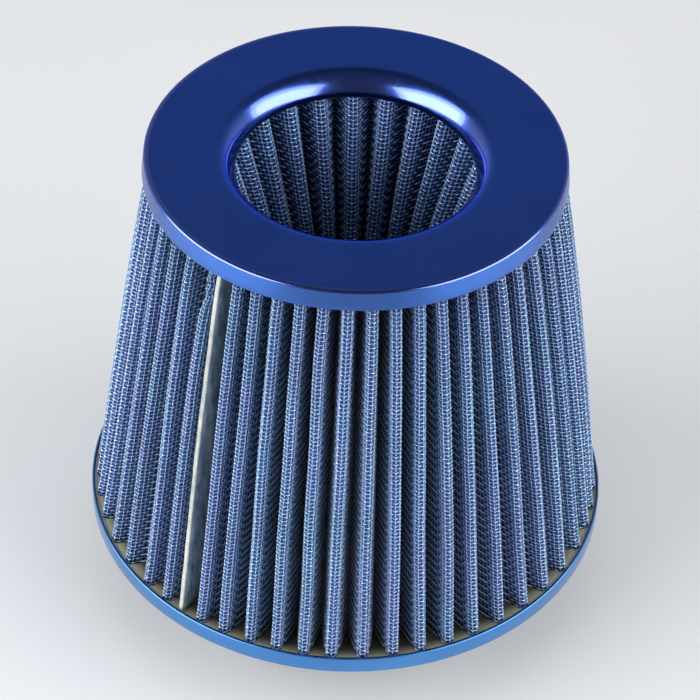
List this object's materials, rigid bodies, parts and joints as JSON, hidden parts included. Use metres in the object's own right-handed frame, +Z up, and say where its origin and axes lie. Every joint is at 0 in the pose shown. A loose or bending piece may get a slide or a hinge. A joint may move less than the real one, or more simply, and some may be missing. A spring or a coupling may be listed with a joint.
{
  "type": "cone air filter",
  "caption": "Cone-shaped car intake air filter: pleated wire cloth and gauze between a bell-mouth ring and a base ring, inverted pleated cone inside the mouth, clamped neck below.",
  "frame": {"origin": "centre of the neck's lower rim, on the filter's axis, at the surface that the filter stands on", "axes": "+Z up along the filter's axis, from the neck to the bell mouth; -Y is the side that faces the picture's camera"},
  "size_m": [0.15, 0.15, 0.151],
  "materials": {
    "blue_anodised_aluminium": "anodised blue, satin",
    "blue_wire_cloth": "woven wire, blue coating, semi-gloss",
    "oiled_gauze": "oiled cotton gauze",
    "bare_steel_clip": "bare folded strip",
    "black_moulding": "moulded black plastic, fine grain",
    "beige_resin": "cast potting resin",
    "clamp_steel": "stainless strip",
    "screw_steel": "zinc-plated steel"
  },
  "bodies": {
    "root": {"top_ring": "blue_anodised_aluminium", "base_ring": "blue_anodised_aluminium", "outer_mesh_outside": "blue_wire_cloth", "outer_mesh_inside": "blue_wire_cloth", "cone_mesh_clean_side": "blue_wire_cloth", "cone_mesh_mouth_side": "blue_wire_cloth", "outer_gauze": "oiled_gauze", "cone_gauze": "oiled_gauze", "outer_seam_clip": "bare_steel_clip", "cone_seam_clip": "bare_steel_clip", "base_moulding": "black_moulding", "cone_end_cap": "black_moulding", "base_resin": "beige_resin", "top_resin": "beige_resin", "cap_resin": "beige_resin", "clamp_band": "clamp_steel", "clamp_housing": "clamp_steel", "clamp_screw": "screw_steel"}
  },
  "joints": []
}
